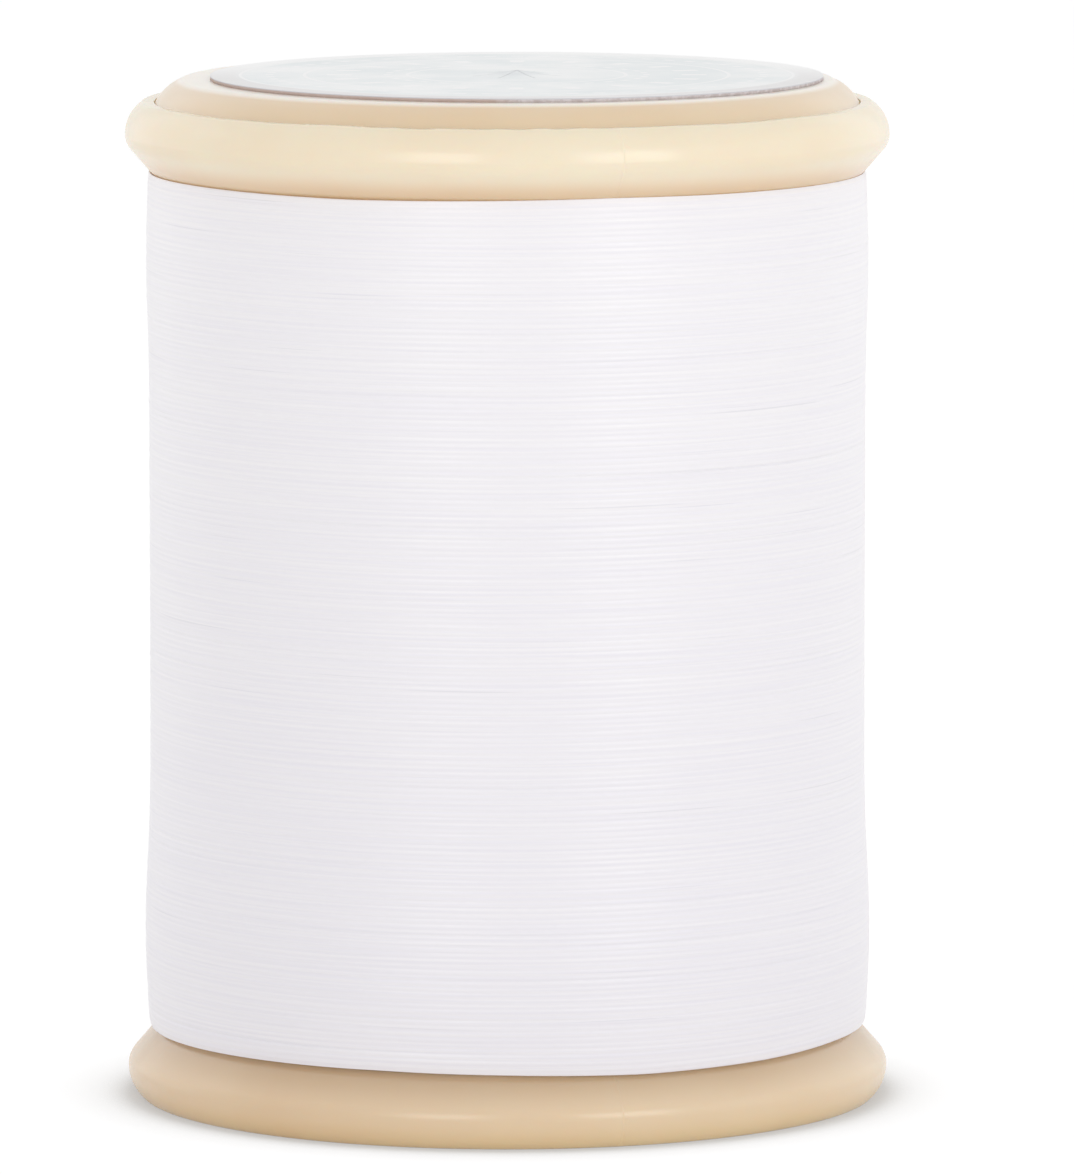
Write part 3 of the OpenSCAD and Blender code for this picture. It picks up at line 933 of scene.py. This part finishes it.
# The brown on the left of the cut side is painted shade.
BROWN_SHADE_SHARE, BROWN_SHADE_SIDE = 0.8, (6, 2)  # the brown comes in between these places, to the left
BROWN_SHADE_WANDERS = 8  # how far its limit wanders, in millimetres
COAT_FROM, COAT_WHOLE = 0.17, 0.22  # heights in the card's thickness where the coating begins


def cut_edge():
    """The card's cut side: a pale coating on top of a grey, fibrous core, and painted shade that
    browns it on the left.
    """
    material, shader = new_material("card_edge", Roughness=0.7)
    tree = material.node_tree
    place = in_millimetres(tree)
    axes = add(tree, "SeparateXYZ", {"Vector": place}).outputs
    fibres = between(tree, noise(tree, place, scale=2.5, detail=4), *CLOUDY)
    tone = mixed(tree, fibres, paint(*FIBRE), paint(*FIBRE_PALE))
    # Painted shade browns the cut side on its left, with a wandering limit.
    uneven = calculate(tree, "MULTIPLY", noise(tree, place, scale=0.16, detail=1), BROWN_SHADE_WANDERS)
    left_brown_shade = between(tree, calculate(tree, "ADD", axes["X"], uneven), *BROWN_SHADE_SIDE, 0, BROWN_SHADE_SHARE)
    tone = mixed(tree, left_brown_shade, tone, paint(*BROWN_SHADE_COLOUR))
    coating = between(tree, axes["Z"], land_z + COAT_FROM, land_z + COAT_WHOLE)
    tone = mixed(tree, coating, tone, paint(*COATING))
    tree.links.new(tone, shader.inputs["Base Color"])
    return material


card_side = cut_edge()
print("cut side of the card:", len(card_side.node_tree.nodes), "nodes")

# %% [markdown]
# ## Waxed thread
#
# Bleached white thread with a coat of wax is bright, a little cool, and has a silky sheen. Long
# streaks are noise that the UV map stretches a hundred times along the thread, and short fibres
# are stretched some forty times. Some turns are a shade darker for a stretch, which is painted
# shade, as where a turn lies lower in a groove. Painted shade also darkens the tone a little
# towards the foot.

# %% Waxed thread
STREAKS = (0.06, 6.0, 1)  # noise per millimetre along the thread and across it
FIBRES = (0.6, 22, 1)
BLEACHED, BLEACHED_LOW = (251, 248, 251), (246, 243, 249)
# The darker turn colour is painted shade.
TURN_SHADE_COLOUR, TURN_SHADE_SHARE = (205, 203, 212), 0.3
STREAKY, TURN_SHADE_NOISE = (0.3, 0.72), (0.70, 0.78)  # values of the noise where each comes in
# The tone multiplied in towards the foot is painted shade.
FOOT_SHADE_TONE, FOOT_SHADE_HEIGHTS = (247, 247, 248), (52, 6)  # multiplies the tone between these heights
FIBROUS = (0.3, 0.7)  # values of the fibres' noise between which the roughness rises
THREAD_SMOOTH, THREAD_ROUGH = 0.33, 0.45  # least and greatest roughness


def waxed_thread():
    """White thread: long streaks and fine fibres that follow the UV map, both in millimetres."""
    material, shader = new_material(
        "waxed_thread", IOR=1.6, Specular_IOR_Level=1.0, Coat_Weight=0.25, Coat_Roughness=0.35,
        Subsurface_Weight=0.15, Subsurface_Radius=(1, 1, 1), Subsurface_Scale=0.3 * MM,
    )
    tree = material.node_tree
    along = add(tree, "UVMap", uv_map="along_thread").outputs["UV"]
    long_way = add(tree, "Mapping", {"Vector": along, "Scale": STREAKS}).outputs["Vector"]
    short_way = add(tree, "Mapping", {"Vector": along, "Scale": FIBRES}).outputs["Vector"]
    streak = between(tree, noise(tree, long_way, scale=1, detail=2), *STREAKY)
    fibre = noise(tree, short_way, scale=1)
    tone = mixed(tree, streak, paint(*BLEACHED), paint(*BLEACHED_LOW))
    # Painted shade: some turns are darker for a stretch, as where a turn lies lower in a groove.
    turn_shade = between(tree, noise(tree, long_way, scale=0.85, detail=1), *TURN_SHADE_NOISE, 0, TURN_SHADE_SHARE)
    tone = mixed(tree, turn_shade, tone, paint(*TURN_SHADE_COLOUR))
    height = add(tree, "SeparateXYZ", {"Vector": in_millimetres(tree)}).outputs["Z"]
    # Painted shade: the tone grows a little darker towards the foot.
    lower = between(tree, height, *FOOT_SHADE_HEIGHTS, smooth=False)
    tone = mixed(tree, lower, tone, paint(*FOOT_SHADE_TONE), "MULTIPLY")
    tree.links.new(tone, shader.inputs["Base Color"])
    gloss = between(tree, fibre, *FIBROUS, THREAD_SMOOTH, THREAD_ROUGH)
    tree.links.new(gloss, shader.inputs["Roughness"])
    tree.links.new(bump(tree, fibre, distance=0.012, strength=0.5), shader.inputs["Normal"])
    return material


white_thread = waxed_thread()
print("waxed thread:", len(white_thread.node_tree.nodes), "nodes")

# %% [markdown]
# ## Dressing the pieces
#
# Each piece gets its material here.

# %% Dress the pieces
def dress(piece, slot, *materials):
    """Gives a piece its materials and the body that it rides on. The slot is not used."""
    for material in materials:
        piece.data.materials.append(material)
    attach(piece, "root")


dress(body, "flange_plastic", flange_plastic)
dress(top_cap, "cap_plastic", cap_plastic)
dress(base_cap, "cap_plastic", cap_plastic)
dress(label, "label_card", card_face, card_side)
dress(winding, "waxed_thread", white_thread)
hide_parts("spool_body")
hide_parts("top_cap")
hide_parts("base_cap")
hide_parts("top_label")
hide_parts("thread_core", "thread_outer_turns")
print("dressed:", [piece.name for piece in (body, top_cap, base_cap, label, winding)])

# %% [markdown]
# ## Floor and surroundings
#
# The picture is to have a white ground with the spool's shadow on it. Turning up the lamps would
# do that and would wash out the cream. Instead, rays from the camera, and those mirrored by the
# spool, see a floor with a glow of its own and a white world behind it. The lamps give the rest
# of the floor's brightness, and the glow fades close to the spool, so the contact shadow stays.
# All other rays see a plain pale floor and a dimmer world, which is what lights the object.

# %% Floor and world
WORLD_LIGHT = 0.76  # strength of the world as a light
FLOOR_LIT = 0.3  # share of light that the seen floor gives back
FLOOR_GLOW = 0.78  # strength of its own glow
CONTACT = 5  # how far the contact shadow reaches, in millimetres
OPEN_FLOOR = 0.94  # from this share of open surroundings on, the floor has its whole glow
LEAST_GLOW = 0.5  # share of the glow that stays right beside the foot
FLOOR_HALF = 6.0  # metres
FLOOR_DROP = 0.02  # millimetres below the foot, so that the two faces don't meet
PALE = 0.97  # share of light that the floor gives back to the spool

floor_mesh = bpy.data.meshes.new("floor")
floor_corners = [(-1, -1), (1, -1), (1, 1), (-1, 1)]
floor_points = [(x * FLOOR_HALF, y * FLOOR_HALF, -FLOOR_DROP * MM) for x, y in floor_corners]
floor_mesh.from_pydata(floor_points, [], [(0, 1, 2, 3)])
floor = bpy.data.objects.new("floor", floor_mesh)
bpy.context.scene.collection.objects.link(floor)


def straight_rays(tree):
    """1 for rays from the camera and for those mirrored or let through by a surface."""
    rays = add(tree, "LightPath").outputs
    mirrored = calculate(tree, "MAXIMUM", rays["Is Glossy Ray"], rays["Is Transmission Ray"])
    return calculate(tree, "MAXIMUM", rays["Is Camera Ray"], mirrored)


floor_material = bpy.data.materials.new("pale_floor")
floor_material.use_nodes = True
tree = floor_material.node_tree
tree.nodes.clear()
plain = add(tree, "BsdfDiffuse", {"Color": (PALE, PALE, PALE, 1)}).outputs[0]
lit = add(tree, "BsdfDiffuse", {"Color": (FLOOR_LIT, FLOOR_LIT, FLOOR_LIT, 1)}).outputs[0]
near = add(tree, "AmbientOcclusion", {"Distance": CONTACT * MM}, samples=8).outputs["AO"]
strength = between(tree, near, 0, OPEN_FLOOR, 0, FLOOR_GLOW, smooth=False)
strength = calculate(tree, "MAXIMUM", strength, LEAST_GLOW * FLOOR_GLOW)
glow = add(tree, "Emission", {"Color": (1, 1, 1, 1), "Strength": strength}).outputs[0]
seen = add(tree, "AddShader", {0: lit, 1: glow}).outputs[0]
shown = add(tree, "MixShader", {0: straight_rays(tree), 1: plain, 2: seen}).outputs[0]
under = add(tree, "NewGeometry").outputs["Backfacing"]
clear = add(tree, "BsdfTransparent").outputs[0]
surface = add(tree, "MixShader", {0: under, 1: shown, 2: clear}).outputs[0]
add(tree, "OutputMaterial", {"Surface": surface})
floor_mesh.materials.append(floor_material)

world = bpy.data.worlds.new("white_surroundings")
bpy.context.scene.world = world
world.use_nodes = True
tree = world.node_tree
tree.nodes.clear()
strength = between(tree, straight_rays(tree), 0, 1, WORLD_LIGHT, 1, smooth=False)
sky = add(tree, "Background", {"Color": (1, 1, 1, 1), "Strength": strength}).outputs[0]
add(tree, "OutputWorld", {"Surface": sky})
print(f"floor of {2 * FLOOR_HALF:.0f} m, glow {FLOOR_GLOW}, world {WORLD_LIGHT}")

# %% [markdown]
# ## Lights
#
# Two soft boxes stand in front of the spool, one a little to the left and a larger one to the
# right. They give the two short highlights on each rim and, because wound thread is ridged, two
# upright bands of sheen on the winding. Three large, weak screens, one at the right side and two
# behind, keep the sides and the back as bright as the front.

# %% Lights
LAMP_DISTANCE = 0.60  # metres, from the middle of the spool


def soft_box(name, azimuth, elevation, width, height, radiance):
    """A rectangular lamp aimed at the middle of the spool. Azimuth counts from the front to the
    right. A lamp's power is its radiance times pi times its area."""
    lamp = bpy.data.lights.new(name, "AREA")
    lamp.shape = "RECTANGLE"
    lamp.size, lamp.size_y = width, height
    lamp.energy = radiance * math.pi * width * height
    box = bpy.data.objects.new(name, lamp)
    a, e = math.radians(azimuth), math.radians(elevation)
    middle = flange_span / 2 * MM
    box.location = (
        LAMP_DISTANCE * math.sin(a) * math.cos(e),
        -LAMP_DISTANCE * math.cos(a) * math.cos(e),
        middle + LAMP_DISTANCE * math.sin(e),
    )
    box.rotation_euler = (math.pi / 2 - e, 0, a)
    box.visible_camera = False
    bpy.context.scene.collection.objects.link(box)
    print(f"{name}: {azimuth} degrees round, {elevation} up, {lamp.energy:.2f} W")


soft_box("soft_box_left", azimuth=-20, elevation=16, width=0.25, height=0.27, radiance=1.2)
soft_box("soft_box_right", azimuth=37, elevation=16, width=0.30, height=0.27, radiance=1.3)
soft_box("back_screen_left", azimuth=-130, elevation=15, width=0.50, height=0.50, radiance=0.26)
soft_box("side_screen_right", azimuth=80, elevation=15, width=0.40, height=0.40, radiance=0.21)
soft_box("back_screen_right", azimuth=130, elevation=15, width=0.50, height=0.50, radiance=0.22)

# %% [markdown]
# ## Camera
#
# A long lens from three quarters of a metre, looking down by seven degrees, keeps both rims nearly
# straight-sided, as a product picture does.

# %% Camera
CAMERA_PLACE = (1.88 * MM, -750 * MM, 122.19 * MM)
CAMERA_DOWN = math.radians(6.84)
LENS = 365.06
FILM = 36  # width of the film, in millimetres like the lens
FAR_END = 20  # metres

lens = bpy.data.cameras.new("camera")
lens.sensor_width = FILM
lens.lens = LENS
lens.clip_end = FAR_END
camera = bpy.data.objects.new("camera", lens)
camera.location = CAMERA_PLACE
camera.rotation_euler = (math.pi / 2 - CAMERA_DOWN, 0, 0)
bpy.context.scene.collection.objects.link(camera)
bpy.context.scene.camera = camera
bpy.context.scene.view_settings.view_transform = "Standard"
print(f"lens of {LENS:.0f} mm at {-camera.location.y:.2f} m")
